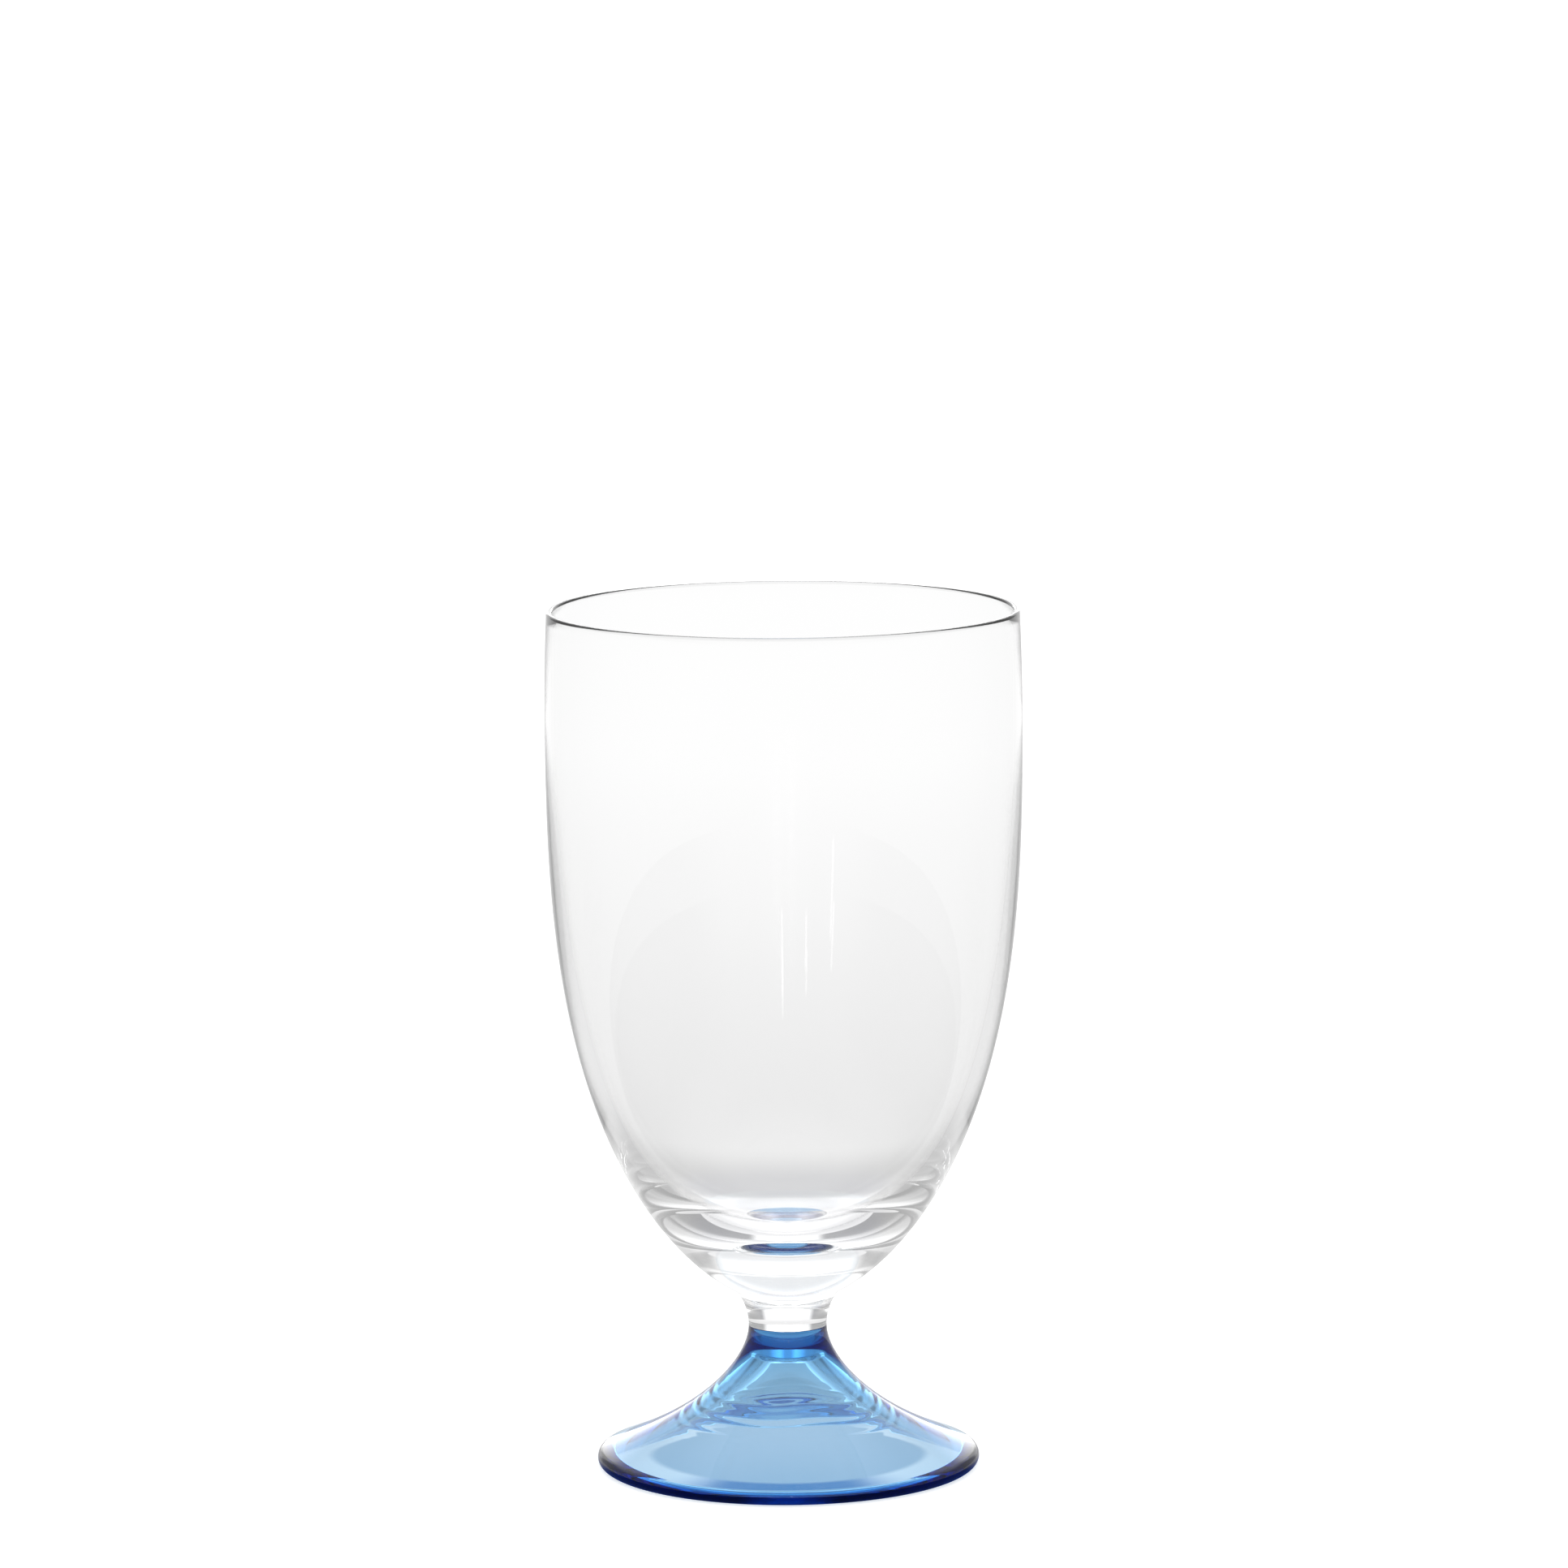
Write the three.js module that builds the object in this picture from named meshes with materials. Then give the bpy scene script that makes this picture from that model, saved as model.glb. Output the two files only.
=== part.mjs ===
// Footed water glass: a clear blown bowl with a heavy floor, a short clear stem and a hollow blue foot.
// The three are joined hot, face to face, one on top of the other, and nothing in the glass moves.
// Millimetres, +Z up, with the origin on the table at the middle of the foot's standing ring.
import * as THREE from "three";

// Foot: a trumpet with a rounded edge, hollow from below, standing on a narrow flat ring.
const footHeight = 24.2; // table to the joint with the stem
const footRadius = 32.65; // widest point of the edge
const footEdgeRadius = 1.45; // rounding of the edge, half the thickness there
const skirtSlope = 20; // degrees below level where the skirt runs into the edge
const skirtReach = 19; // how far the skirt keeps that slope
const throatReach = 5.4; // how far the throat stays upright below the joint
const standingRing = 2.4; // width of the flat ring that touches the table
const hollowCrown = 5.7; // solid glass between the hollow and the joint
const hollowFlat = 3.1; // radius of the flat at the hollow's upper end
const hollowCorner = 1.9; // rounding between that flat and the hollow's side
const hollowSteepness = 53; // degrees below level where the side leaves that rounding
const hollowRise = 5; // how far the side keeps that steepness
const hollowSlope = 25; // degrees above level where the hollow leaves the ring
const hollowReach = 14; // how far it keeps that slope

// Stem: solid, narrowest at the foot and flared up to the bowl.
const neckRadius = 6.68; // joint of stem and foot
const stemLength = 6; // joint to joint
const seatRadius = 8.8; // joint of stem and bowl

// Bowl: heights are taken from its seat on the stem.
const bowlHeight = 117.1; // seat to the top of the lip
const bellyHeight = 97.8; // seat to the widest ring
const bellyRadius = 40.4; // outer radius there
const bellyWall = 1.3; // wall thickness there
const rimRadius = 40; // outer radius at the lip
const lipThickness = 1.1; // rounded over in a half circle
const floorThickness = 10.8; // seat to the bottom of the inside
const outerFullness = { up: 2.707, across: 1.77 }; // exponents of the outer curve: 2 and 2 is an ellipse
const innerFullness = { up: 2, across: 2.95 }; // a flatter floor inside

// Smoothness
const turns = 56; // facets round the axis
const fineSteps = 16; // long curves
const coarseSteps = 4; // short curves and roundings, even so that a half circle keeps its top
const crowding = 1.4; // over 1 draws the bowl's rings closer together towards its bottom

const clearGlass = { color: 0xf1f4f5, roughness: 0.03, metalness: 0, transparent: true, opacity: 0.28 };
const blueGlass = { color: 0x1d6fc0, roughness: 0.04, metalness: 0, transparent: true, opacity: 0.72 };

const point = (radius, height) => new THREE.Vector2(radius, height);
const onAxis = (height) => point(0, height);

// A step from a point along a direction given in degrees above level, outwards.
function step(from, degrees, length) {
  const angle = THREE.MathUtils.degToRad(degrees);
  return point(from.x + length * Math.cos(angle), from.y + length * Math.sin(angle));
}

// A circular arc about a centre, from one angle to another, in degrees.
function arc(centre, radius, fromDegrees, toDegrees, steps) {
  const from = THREE.MathUtils.degToRad(fromDegrees);
  const to = THREE.MathUtils.degToRad(toDegrees);
  const curve = new THREE.EllipseCurve(centre.x, centre.y, radius, radius, from, to, to < from);
  return curve.getPoints(steps);
}

// A superellipse from its widest ring down, ending on the axis at its full depth or on the ring asked for.
function bellyCurve(radius, top, depth, fullness, lastRadius) {
  const lastAngle = Math.acos((lastRadius / radius) ** (fullness.across / 2));
  const points = [];
  for (let i = 0; i <= fineSteps; i++) {
    const angle = lastAngle * (1 - (1 - i / fineSteps) ** crowding);
    const across = i < fineSteps ? radius * Math.cos(angle) ** (2 / fullness.across) : lastRadius;
    const down = depth * Math.sin(angle) ** (2 / fullness.up);
    points.push(point(across, top - down));
  }
  return points;
}

// A closed section, from its lowest point on the axis out and back to its highest, turned about Z.
function turned(name, section, look) {
  const apart = section.filter((p, i) => i === 0 || p.distanceTo(section[i - 1]) > 1e-6);
  const geometry = new THREE.LatheGeometry(apart, turns);
  geometry.rotateX(Math.PI / 2);
  const mesh = new THREE.Mesh(geometry, new THREE.MeshStandardMaterial(look));
  mesh.name = name;
  return mesh;
}

function footSection() {
  const edgeCentre = point(footRadius - footEdgeRadius, footEdgeRadius);
  const edgeAngle = 90 - skirtSlope;
  const skirtEnd = step(edgeCentre, edgeAngle, footEdgeRadius);
  const joint = point(neckRadius, footHeight);
  const trumpet = new THREE.CubicBezierCurve(
    skirtEnd,
    step(skirtEnd, 180 - skirtSlope, skirtReach),
    step(joint, -90, throatReach),
    joint,
  );

  const crown = footHeight - hollowCrown;
  const mouth = point(edgeCentre.x - standingRing, 0);
  const cornerCentre = point(hollowFlat, crown - hollowCorner);
  const sideAngle = 90 - hollowSteepness;
  const sideTop = step(cornerCentre, sideAngle, hollowCorner);
  const hollow = new THREE.CubicBezierCurve(
    sideTop,
    step(sideTop, -hollowSteepness, hollowRise),
    step(mouth, 180 - hollowSlope, hollowReach),
    mouth,
  );

  return [
    onAxis(crown),
    ...arc(cornerCentre, hollowCorner, 90, sideAngle, coarseSteps),
    ...hollow.getPoints(fineSteps),
    ...arc(edgeCentre, footEdgeRadius, -90, 0, coarseSteps),
    ...arc(edgeCentre, footEdgeRadius, 0, edgeAngle, coarseSteps),
    ...trumpet.getPoints(fineSteps),
    onAxis(footHeight),
  ];
}

function stemSection() {
  const flare = seatRadius - neckRadius;
  const flareRadius = (stemLength ** 2 + flare ** 2) / (2 * flare);
  const flareCentre = point(neckRadius + flareRadius, 0);
  const flareEnd = THREE.MathUtils.radToDeg(Math.atan2(stemLength, seatRadius - flareCentre.x));
  return [
    onAxis(0),
    ...arc(flareCentre, flareRadius, 180, flareEnd, coarseSteps),
    onAxis(stemLength),
  ];
}

function bowlSection() {
  const { up, across } = outerFullness;
  const seatShare = (1 - (seatRadius / bellyRadius) ** across) ** (1 / up);
  const outerDepth = bellyHeight / seatShare; // so that the curve meets the seat at its own radius
  const outside = bellyCurve(bellyRadius, bellyHeight, outerDepth, outerFullness, seatRadius);

  const innerRadius = bellyRadius - bellyWall;
  const innerDepth = bellyHeight - floorThickness;
  const inside = bellyCurve(innerRadius, bellyHeight, innerDepth, innerFullness, 0);

  const lipRadius = lipThickness / 2;
  const lipCentre = point(rimRadius - lipRadius, bowlHeight - lipRadius);
  const shoulder = (bellyHeight + lipCentre.y) / 2;
  const outerNeck = new THREE.QuadraticBezierCurve(
    point(bellyRadius, bellyHeight),
    point(bellyRadius, shoulder),
    point(rimRadius, lipCentre.y),
  );
  const innerNeck = new THREE.QuadraticBezierCurve(
    point(rimRadius - lipThickness, lipCentre.y),
    point(innerRadius, shoulder),
    point(innerRadius, bellyHeight),
  );

  return [
    onAxis(0),
    ...outside.reverse(),
    ...outerNeck.getPoints(coarseSteps),
    ...arc(lipCentre, lipRadius, 0, 180, coarseSteps),
    ...innerNeck.getPoints(coarseSteps),
    ...inside,
  ];
}

const foot = turned("foot", footSection(), blueGlass);
const stem = turned("stem", stemSection(), clearGlass);
const bowl = turned("bowl", bowlSection(), clearGlass);
stem.position.z = footHeight;
bowl.position.z = footHeight + stemLength;

const waterGlass = new THREE.Group();
waterGlass.name = "water_glass";
waterGlass.add(foot, stem, bowl);

export default waterGlass;
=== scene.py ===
import math

import bpy
from mathutils import Matrix, Vector


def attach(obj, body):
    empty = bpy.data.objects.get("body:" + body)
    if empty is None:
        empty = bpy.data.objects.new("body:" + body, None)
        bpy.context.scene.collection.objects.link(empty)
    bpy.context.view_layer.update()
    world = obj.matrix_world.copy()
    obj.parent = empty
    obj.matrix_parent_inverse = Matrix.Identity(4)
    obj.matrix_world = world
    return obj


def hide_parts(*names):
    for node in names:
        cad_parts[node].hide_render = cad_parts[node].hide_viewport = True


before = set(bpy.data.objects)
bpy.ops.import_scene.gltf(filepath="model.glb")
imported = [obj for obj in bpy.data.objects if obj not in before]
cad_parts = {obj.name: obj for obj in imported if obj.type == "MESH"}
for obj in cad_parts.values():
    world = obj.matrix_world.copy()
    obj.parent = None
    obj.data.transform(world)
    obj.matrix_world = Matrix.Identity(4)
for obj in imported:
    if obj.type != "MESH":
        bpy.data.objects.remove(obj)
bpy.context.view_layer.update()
print("frame loaded:", sorted(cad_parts))

scene = bpy.context.scene
scene.view_settings.view_transform = "Standard"
mm = 0.001
samePoint = 0.0001  # mm, section points closer than this are one
weldReach = 1e-7  # m, points closer than this after the spin are one
creaseAngle = 40  # degrees, edges sharper than this stay creased


# Section points are (radius, height) in mm. This one lies off another, in degrees above level.
def along(start, degrees, length):
    angle = math.radians(degrees)
    return (start[0] + length * math.cos(angle), start[1] + length * math.sin(angle))


def arcPoints(centre, radius, fromDegrees, toDegrees, count):
    turn = (toDegrees - fromDegrees) / count
    return [along(centre, fromDegrees + turn * i, radius) for i in range(count + 1)]


def bezierPoints(corners, count):
    points = []
    for i in range(count + 1):
        row = list(corners)
        while len(row) > 1:
            row = [
                tuple(a + (b - a) * i / count for a, b in zip(p, q))
                for p, q in zip(row, row[1:])
            ]
        points.append(row[0])
    return points


# A superellipse from its widest ring down. Crowding over 1 draws the points together at the bottom.
def bellyPoints(radius, top, depth, fullness, lastRadius, count, crowding):
    up, across = fullness
    lastAngle = math.acos((lastRadius / radius) ** (across / 2))
    points = []
    for i in range(count + 1):
        angle = lastAngle * (1 - (1 - i / count) ** crowding)
        reach = radius * max(math.cos(angle), 0) ** (2 / across) if i < count else lastRadius
        points.append((reach, top - depth * math.sin(angle) ** (2 / up)))
    return points


# A section drawn point by point from the axis and back to it, then spun about the axis.
def turnPiece(name, section, steps):
    clean = [p for i, p in enumerate(section) if i == 0 or math.dist(p, section[i - 1]) > samePoint]
    bpy.ops.object.select_all(action="DESELECT")
    bpy.ops.mesh.primitive_plane_add(size=mm, location=(clean[0][0] * mm, 0, clean[0][1] * mm))
    piece = bpy.context.object
    piece.name = piece.data.name = name
    bpy.ops.object.transform_apply(location=True, rotation=True, scale=True)
    bpy.ops.object.mode_set(mode="EDIT")
    bpy.ops.mesh.select_mode(type="VERT")
    bpy.ops.mesh.select_all(action="SELECT")
    bpy.ops.mesh.merge(type="CENTER")
    for (r0, z0), (r1, z1) in zip(clean, clean[1:]):
        move = ((r1 - r0) * mm, 0, (z1 - z0) * mm)
        bpy.ops.mesh.extrude_vertices_move(TRANSFORM_OT_translate={"value": move})
    bpy.ops.mesh.select_all(action="SELECT")
    bpy.ops.mesh.spin(steps=steps, angle=2 * math.pi, center=(0, 0, 0), axis=(0, 0, 1))
    bpy.ops.mesh.select_all(action="SELECT")
    bpy.ops.mesh.remove_doubles(threshold=weldReach)
    bpy.ops.mesh.normals_make_consistent(inside=False)
    bpy.ops.object.mode_set(mode="OBJECT")
    bpy.ops.object.shade_smooth_by_angle(angle=math.radians(creaseAngle))
    print("turned", name, len(piece.data.vertices), "points", len(piece.data.polygons), "faces")
    return piece


# A socket that can be added, multiplied and so on.
class Sock:
    def __init__(self, tree, out):
        self.tree, self.out = tree, out

    def math(self, operation, a, b=None):
        values = {0: a} if b is None else {0: a, 1: b}
        return makeNode(self.tree, "Math", {"operation": operation}, values)

    def __add__(self, other):
        return self.math("ADD", self, other)

    def __radd__(self, other):
        return self.math("ADD", other, self)

    def __sub__(self, other):
        return self.math("SUBTRACT", self, other)

    def __rsub__(self, other):
        return self.math("SUBTRACT", other, self)

    def __mul__(self, other):
        return self.math("MULTIPLY", self, other)

    def __rmul__(self, other):
        return self.math("MULTIPLY", other, self)

    def __truediv__(self, other):
        return self.math("DIVIDE", self, other)

    def __rtruediv__(self, other):
        return self.math("DIVIDE", other, self)

    def __abs__(self):
        return self.math("ABSOLUTE", self)


def makeNode(tree, kind, settings=None, sockets=None, give=0):
    node = tree.nodes.new("ShaderNode" + kind)
    for key, value in (settings or {}).items():
        setattr(node, key, value)
    for key, value in (sockets or {}).items():
        if isinstance(value, Sock):
            tree.links.new(value.out, node.inputs[key])
        else:
            node.inputs[key].default_value = value
    return Sock(tree, node.outputs[give])


# From start to end while the value crosses the span.
def ease(tree, value, span, start=0.0, end=1.0):
    low, high = span
    return makeNode(
        tree, "MapRange", {"interpolation_type": "SMOOTHSTEP"},
        {"Value": value, "From Min": low, "From Max": high, "To Min": start, "To Max": end},
    )


def blend(tree, share, first, second):
    return makeNode(tree, "Mix", {"data_type": "RGBA"}, {0: share, 6: first, 7: second}, 2)


def newMaterial(name):
    material = bpy.data.materials.new(name)
    material.use_nodes = True
    material.node_tree.nodes.clear()
    return material, material.node_tree


def sendOut(tree, surface, volume=None, kind="OutputMaterial"):
    node = tree.nodes.new("ShaderNode" + kind)
    tree.links.new(surface.out, node.inputs["Surface"])
    if volume is not None:
        tree.links.new(volume.out, node.inputs["Volume"])


# Bowl, in mm: two different curves outside and inside, joined by a rounded lip.
bowlSizes = {
    "seat": 30.2, "seatRadius": 8.8, "belly": 128.0, "bellyRadius": 40.4, "wall": 1.3,
    "top": 147.3, "rimRadius": 40.0, "lip": 1.1, "floor": 41.0,
    "outerFullness": (2.707, 1.77), "innerFullness": (2.0, 2.95),
    "outerSteps": 84, "outerCrowding": 1.4, "innerSteps": 104, "innerCrowding": 1.5,
    "neckSteps": 12, "lipSteps": 16, "turns": 224,
}


def bowlSection(s):
    up, across = s["outerFullness"]
    share = (1 - (s["seatRadius"] / s["bellyRadius"]) ** across) ** (1 / up)
    outerDepth = (s["belly"] - s["seat"]) / share  # so that the curve meets the seat at its radius
    outside = bellyPoints(
        s["bellyRadius"], s["belly"], outerDepth, s["outerFullness"], s["seatRadius"],
        s["outerSteps"], s["outerCrowding"],
    )
    innerRadius = s["bellyRadius"] - s["wall"]
    innerDepth = s["belly"] - s["floor"]
    inside = bellyPoints(
        innerRadius, s["belly"], innerDepth, s["innerFullness"], 0,
        s["innerSteps"], s["innerCrowding"],
    )
    lipRadius = s["lip"] / 2
    lipCentre = (s["rimRadius"] - lipRadius, s["top"] - lipRadius)
    shoulder = (s["belly"] + lipCentre[1]) / 2
    outerNeck = [
        (s["bellyRadius"], s["belly"]),
        (s["bellyRadius"], shoulder),
        (s["rimRadius"], lipCentre[1]),
    ]
    innerNeck = [
        (s["rimRadius"] - s["lip"], lipCentre[1]),
        (innerRadius, shoulder),
        (innerRadius, s["belly"]),
    ]
    return [
        (0, s["seat"]),
        *outside[::-1],
        *bezierPoints(outerNeck, s["neckSteps"]),
        *arcPoints(lipCentre, lipRadius, 0, 180, s["lipSteps"]),
        *bezierPoints(innerNeck, s["neckSteps"]),
        *inside,
    ]


bowl = turnPiece("clear_bowl", bowlSection(bowlSizes), bowlSizes["turns"])


# Stem, in mm: solid, with one arc for its side.
stemSizes = {
    "bottom": 24.2, "top": 30.2, "neckRadius": 6.68, "seatRadius": 8.8, "steps": 24, "turns": 160,
}


def stemSection(s):
    rise = s["top"] - s["bottom"]
    flare = s["seatRadius"] - s["neckRadius"]
    radius = (rise**2 + flare**2) / (2 * flare)
    centre = (s["neckRadius"] + radius, s["bottom"])
    lastDegrees = math.degrees(math.atan2(rise, s["seatRadius"] - centre[0]))
    side = arcPoints(centre, radius, 180, lastDegrees, s["steps"])
    return [(0, s["bottom"]), *side, (0, s["top"])]


stem = turnPiece("clear_stem", stemSection(stemSizes), stemSizes["turns"])


# Foot, in mm and degrees: a trumpet with a rounded edge, hollow from below.
footSizes = {
    "height": 24.2, "radius": 32.65, "edge": 1.45, "neckRadius": 6.68, "ring": 2.4,
    "skirtSlope": 20, "skirtReach": 19, "throatReach": 5.4,
    "crown": 5.7, "crownFlat": 3.1, "corner": 1.9, "shoulder": 53, "shoulderReach": 5.0,
    "hollowSlope": 25, "hollowReach": 14.0,
    "overlap": 0.05,  # how far the top reaches into the stem, so that light crosses without a gap
    "curveSteps": 70, "hollowSteps": 150, "cornerSteps": 20, "edgeSteps": 40, "turns": 224,
    "ripple": 0.026, "rippleLength": 2.1, "rippleFrom": 8.0, "rippleTo": 20.0,
    "swirls": ((3, 1.0, 0.0), (5, 0.7, 1.0)),  # waves round the axis, how strong, from where
    "echo": (0.45, 1.7, 2.0),  # a second ripple: how strong, how much finer, from where
    "lookingDown": -0.1,  # upward share of a normal, below which a point is in the hollow
}


def footSection(s):
    edgeCentre = (s["radius"] - s["edge"], s["edge"])
    skirtEnd = along(edgeCentre, 90 - s["skirtSlope"], s["edge"])
    joint = (s["neckRadius"], s["height"])
    trumpet = [
        skirtEnd,
        along(skirtEnd, 180 - s["skirtSlope"], s["skirtReach"]),
        along(joint, -90, s["throatReach"]),
        joint,
    ]
    crown = s["height"] - s["crown"]
    cornerCentre = (s["crownFlat"], crown - s["corner"])
    shoulder = along(cornerCentre, 90 - s["shoulder"], s["corner"])
    mouth = (edgeCentre[0] - s["ring"], 0)
    hollow = [
        shoulder,
        along(shoulder, -s["shoulder"], s["shoulderReach"]),
        along(mouth, 180 - s["hollowSlope"], s["hollowReach"]),
        mouth,
    ]
    inset = (s["neckRadius"] - s["overlap"] / 2, s["height"] + s["overlap"])
    return [
        (0, crown),
        *arcPoints(cornerCentre, s["corner"], 90, 90 - s["shoulder"], s["cornerSteps"]),
        *bezierPoints(hollow, s["hollowSteps"]),
        *arcPoints(edgeCentre, s["edge"], -90, 90 - s["skirtSlope"], s["edgeSteps"]),
        *bezierPoints(trumpet, s["curveSteps"]),
        inset,
        (0, inset[1]),
    ]


# Faint uneven rings left in the hollow. The points are picked first, because a move changes normals.
def rippleHollow(piece, s):
    strength, pace, start = s["echo"]
    hollow = [vertex for vertex in piece.data.vertices if vertex.normal.z < s["lookingDown"]]
    for vertex in hollow:
        reach = math.hypot(vertex.co.x, vertex.co.y) / mm
        share = (reach - s["rippleFrom"]) / (s["rippleTo"] - s["rippleFrom"])
        if 0 < share < 1:
            turn = math.atan2(vertex.co.y, vertex.co.x)
            phase = reach * 2 * math.pi / s["rippleLength"]
            phase += sum(much * math.sin(count * turn + shift) for count, much, shift in s["swirls"])
            wave = math.sin(phase) + strength * math.sin(pace * phase + start)
            vertex.co.z += s["ripple"] * mm * math.sin(math.pi * share) * wave


foot = turnPiece("blue_foot", footSection(footSizes), footSizes["turns"])
rippleHollow(foot, footSizes)


# Glass: a slight waviness on both, and a colour that deepens with thickness in the blue one.
clearLook = {"ior": 1.52, "wave": 0.02, "waveSize": 60}
blueLook = {"ior": 1.5, "wave": 0.02, "waveSize": 90, "density": 245, "tint": (0.15, 0.592, 0.83)}
waveLook = {"detail": 2.0, "roughness": 0.4, "depth": 0.0005}
seamReach = 1e-6  # m, how near a face lies to the seam's height
seamLevel = 0.99  # upward share of a level face's normal


def glassMaterial(name, look):
    material, tree = newMaterial(name)
    place = makeNode(tree, "TexCoord", give="Object")
    noise = makeNode(
        tree, "TexNoise", None,
        {"Vector": place, "Scale": look["waveSize"], "Detail": waveLook["detail"],
         "Roughness": waveLook["roughness"]},
    )
    bump = makeNode(
        tree, "Bump", None,
        {"Strength": look["wave"], "Distance": waveLook["depth"], "Height": noise},
    )
    glass = makeNode(
        tree, "BsdfPrincipled", None,
        {"Base Color": (1, 1, 1, 1), "Roughness": 0.0, "IOR": look["ior"],
         "Transmission Weight": 1.0, "Normal": bump},
    )
    depth = None
    if "density" in look:
        absorbed = {"Color": (*look["tint"], 1), "Density": look["density"]}
        depth = makeNode(tree, "VolumeAbsorption", None, absorbed)
    sendOut(tree, glass, depth)
    return material


def fusedSeam():
    material, tree = newMaterial("fused_seam")
    sendOut(tree, makeNode(tree, "BsdfTransparent"))
    return material


# The level faces where bowl and stem meet are see-through, because the two are the same glass.
def sealSeam(piece, height, material):
    piece.data.materials.append(material)
    for face in piece.data.polygons:
        if abs(face.center.z - height * mm) < seamReach and abs(face.normal.z) > seamLevel:
            face.material_index = 1


clear = glassMaterial("clear_glass", clearLook)
blue = glassMaterial("blue_glass", blueLook)
seam = fusedSeam()
for piece, material, node, slotName in (
    (bowl, clear, "bowl", "clear_glass"),
    (stem, clear, "stem", "clear_glass"),
    (foot, blue, "foot", "blue_glass"),
):
    piece.data.materials.append(material)
    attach(piece, "root")
    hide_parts(node)
for piece in (bowl, stem):
    sealSeam(piece, bowlSizes["seat"], seam)
print("glass dressed")


# Floor: plain to the camera. Through glass it shows painted shadows and painted light, standing in for
# the shades that the glass and its foot throw on it.
floorLook = {
    "size": 16.0, "drop": 0.1,  # m, mm
    # Painted shade: through glass the floor is darker near the glass and darker in front than behind,
    # brightening with distance.
    "back": {"near": 0.7, "mid": 0.9, "far": 1.0, "firstRise": (0.09, 0.17), "lastRise": (0.15, 0.8)},
    "front": {"near": 0.35, "mid": 0.78, "far": 0.96, "firstRise": (0.1, 0.32), "lastRise": (0.32, 0.8)},
    "turnBack": (-0.9, 0.6), "turnSide": (0.35, 0.75), "sideShade": 0.1,
    # Painted shadow: dark blue on the floor within the apron in front of the foot, white behind it.
    "apron": (40, 60), "apronTurn": (-0.3, 0.5), "apronPaintedShadow": (0.04, 0.08, 0.32),  # mm from the axis
    # Painted shade and light in a ring at the foot's edge: dark blue in front, brighter than white at the
    # sides, pale blue behind.
    "ring": (30.6, 31.4), "ringPaintedShadeFront": (0.12, 0.34, 0.66),
    "ringPaintedLightSide": (1.25, 1.15, 1.15), "ringPaintedShadeBack": (0.55, 0.7, 0.87),
    # Painted blue shadow on the floor under the foot, inside the disc.
    "paintedShadowDisc": (22.5, 24.5), "paintedShadowDiscTint": (0.62, 0.72, 0.84),
    "paint": 0.8, "lift": 0.6,
}
white = (1, 1, 1, 1)


# Painted shade: brightness by distance, in two rises.
def shadeAway(tree, distance, tones):
    first = ease(tree, distance, tones["firstRise"], tones["near"], tones["mid"])
    return first + ease(tree, distance, tones["lastRise"], 0.0, tones["far"] - tones["mid"])


def pastRadius(tree, distance, span):
    return ease(tree, distance, [radius * mm for radius in span])


def paleFloor(look):
    bpy.ops.object.select_all(action="DESELECT")
    bpy.ops.mesh.primitive_plane_add(size=look["size"], location=(0, 0, -look["drop"] * mm))
    plane = bpy.context.object
    plane.name = "floor"
    material, tree = newMaterial("pale_floor")
    place = makeNode(tree, "TexCoord", give="Object")
    distance = makeNode(tree, "VectorMath", {"operation": "LENGTH"}, {0: place}, "Value")
    rightward = makeNode(tree, "SeparateXYZ", None, {"Vector": place}, "X") / distance
    backward = makeNode(tree, "SeparateXYZ", None, {"Vector": place}, "Y") / distance
    behind = ease(tree, backward, look["turnBack"])
    beside = ease(tree, abs(rightward), look["turnSide"])
    # Painted shade: darker near the glass, in front and toward the sides.
    back = shadeAway(tree, distance, look["back"]) - beside * look["sideShade"]
    front = shadeAway(tree, distance, look["front"])
    # Painted dark-blue shadow in front of the foot, white behind it.
    near = blend(tree, ease(tree, backward, look["apronTurn"]), (*look["apronPaintedShadow"], 1), white)
    far = back * behind + front * (1 - behind)
    tone = blend(tree, pastRadius(tree, distance, look["apron"]), near, far)
    # Painted ring of shade and light at the foot's edge.
    ring = blend(tree, behind, (*look["ringPaintedShadeFront"], 1), (*look["ringPaintedShadeBack"], 1))
    ring = blend(tree, beside, ring, (*look["ringPaintedLightSide"], 1))
    tone = blend(tree, pastRadius(tree, distance, look["ring"]), ring, tone)
    # Painted blue shadow under the foot.
    tone = blend(tree, pastRadius(tree, distance, look["paintedShadowDisc"]), (*look["paintedShadowDiscTint"], 1), tone)
    # The painted shades glow as emission, seen only through glass and in reflections.
    seen = makeNode(tree, "Emission", None, {"Color": tone, "Strength": 1.0})
    diffuse = makeNode(tree, "BsdfDiffuse", None, {"Color": (*[look["paint"]] * 3, 1)})
    lift = makeNode(tree, "Emission", None, {"Color": white, "Strength": look["lift"]})
    lit = makeNode(tree, "AddShader", None, {0: diffuse, 1: lift})
    direct = makeNode(tree, "LightPath", give="Is Camera Ray")
    through = makeNode(tree, "LightPath", give="Is Transmission Ray")
    mirrored = makeNode(tree, "LightPath", give="Is Glossy Ray")
    plain = makeNode(tree, "MixShader", None, {0: direct, 1: diffuse, 2: lit})
    byGlass = makeNode(tree, "Math", {"operation": "MAXIMUM"}, {0: through, 1: mirrored})
    sendOut(tree, makeNode(tree, "MixShader", None, {0: byGlass, 1: plain, 2: seen}))
    material.cycles.emission_sampling = "NONE"
    plane.data.materials.append(material)


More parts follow.
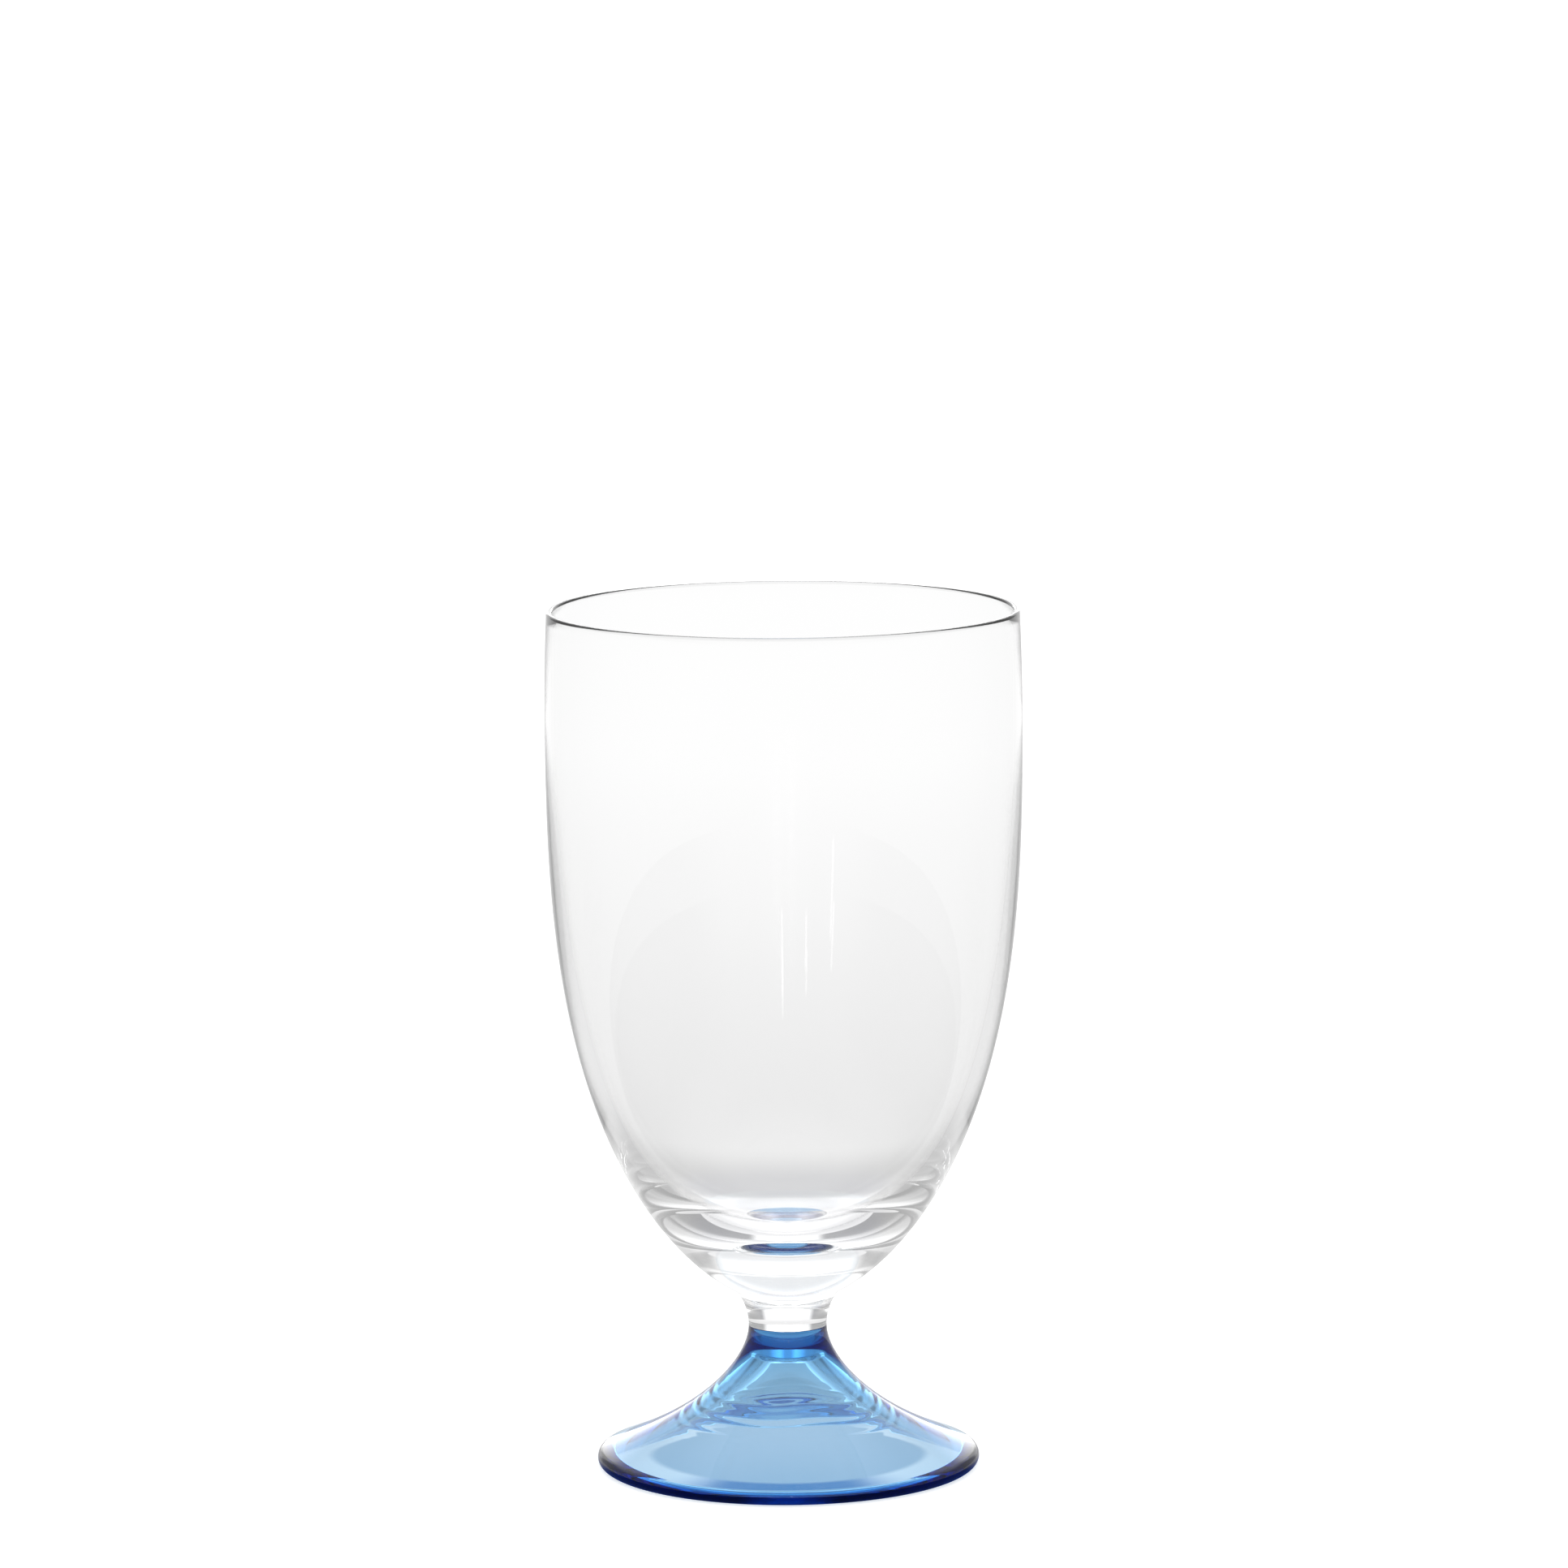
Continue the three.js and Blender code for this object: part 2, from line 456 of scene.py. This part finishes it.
# World: soft light from all round, a low bright panel behind and narrow strips in front.
# Spans are shares of a direction's length, and those of heights are upwards.
worldLook = {
    "turnBack": (-0.35, 0.35), "turnSide": (0.45, 0.9),
    "horizon": 0.95, "frontLow": 0.6, "frontHigh": 0.5, "frontFall": (0.0, 0.2), "frontRise": (0.2, 0.6),
    "backLow": 0.45, "back": 0.85, "backRise": (0.38, 0.5),
    "side": 0.4, "sideHigh": 0.75, "sideRise": (0.3, 0.6), "top": 1.35, "topRise": (0.6, 0.92),
    "panel": 3.3, "panelMid": 1.6, "panelSide": 1.15, "panelHeight": (0.36, 0.5),
    "midWidth": (0.03, 0.12), "fadeWidth": (0.1, 0.3), "panelWidth": (0.36, 0.5),
    "strip": 2.4, "stripCore": 0.6, "stripFoot": 0.02, "stripHead": 0.03,
    # degrees to the right, half width in degrees, lowest and highest place
    "strips": ((1.7, 0.6, 0.11, 0.27), (-12, 0.6, 0.11, 0.21), (-26, 0.6, 0.0, 0.14)),
}


def softWorld(look):
    scene.world = bpy.data.worlds.new("studio")
    scene.world.use_nodes = True
    scene.world.cycles.sampling_method = "NONE"
    tree = scene.world.node_tree
    tree.nodes.clear()
    ray = makeNode(tree, "TexCoord", give="Generated")
    rightward, backward, upward = [
        makeNode(tree, "SeparateXYZ", None, {"Vector": ray}, axis) for axis in ("X", "Y", "Z")
    ]
    aside = abs(rightward)
    behind = ease(tree, backward, look["turnBack"])
    beside = ease(tree, aside, look["turnSide"])
    above = ease(tree, upward, look["topRise"])
    front = ease(tree, upward, look["frontFall"], look["horizon"], look["frontLow"])
    front = front + ease(tree, upward, look["frontRise"], 0.0, look["frontHigh"] - look["frontLow"])
    back = ease(tree, upward, look["backRise"], look["backLow"], look["back"])
    side = ease(tree, upward, look["sideRise"], look["side"], look["sideHigh"])
    panel = behind * ease(tree, aside, look["panelWidth"], 1.0, 0.0)
    panel = panel * ease(tree, upward, look["panelHeight"], 1.0, 0.0)
    bright = ease(tree, aside, look["midWidth"], look["panelMid"], look["panel"])
    bright = bright - ease(tree, aside, look["fadeWidth"], 0.0, look["panel"] - look["panelSide"])
    glow = front * (1 - behind) + back * behind
    glow = glow * (1 - beside) + side * beside
    glow = glow * (1 - above) + above * look["top"]
    glow = glow * (1 - panel) + panel * bright
    angle = makeNode(tree, "Math", {"operation": "ARCTAN2"}, {0: rightward, 1: 0 - backward})
    for degrees, width, low, high in look["strips"]:
        edge = math.radians(width)
        off = abs(angle - math.radians(degrees))
        strip = ease(tree, off, (edge * look["stripCore"], edge), look["strip"], 0.0)
        strip = strip * ease(tree, upward, (low, low + look["stripFoot"]))
        glow = glow + strip * ease(tree, upward, (high, high + look["stripHead"]), 1.0, 0.0)
    direct = makeNode(tree, "LightPath", give="Is Camera Ray")
    soft = makeNode(tree, "Background", None, {"Color": glow, "Strength": 1.0})
    plain = makeNode(tree, "Background", None, {"Color": white, "Strength": 1.0})
    surface = makeNode(tree, "MixShader", None, {0: direct, 1: soft, 2: plain})
    sendOut(tree, surface, kind="OutputWorld")


paleFloor(floorLook)
softWorld(worldLook)
print("stage set")


# Camera: a long lens, looking slightly down, with the photo's slight tilt.
cameraLook = {
    "lens": 180, "sensor": 36, "farthest": 50, "place": (0, -1.3123, 0.3091), "down": 8.31, "roll": -0.39,
}
bpy.ops.object.camera_add(location=cameraLook["place"])
camera = bpy.context.object
camera.data.sensor_width = cameraLook["sensor"]
camera.data.lens = cameraLook["lens"]
camera.data.clip_end = cameraLook["farthest"]
tilt = Matrix.Rotation(math.radians(90 - cameraLook["down"]), 4, "X")
tilt = tilt @ Matrix.Rotation(math.radians(cameraLook["roll"]), 4, "Z")
camera.matrix_world = Matrix.Translation(Vector(cameraLook["place"])) @ tilt
scene.camera = camera

# Light crosses many walls of glass before it leaves.
glassBounces = 32
scene.cycles.max_bounces = glassBounces
scene.cycles.transmission_bounces = glassBounces
scene.cycles.glossy_bounces = glassBounces
scene.cycles.transparent_max_bounces = 2 * glassBounces
scene.cycles.use_denoising = True
print("camera placed")
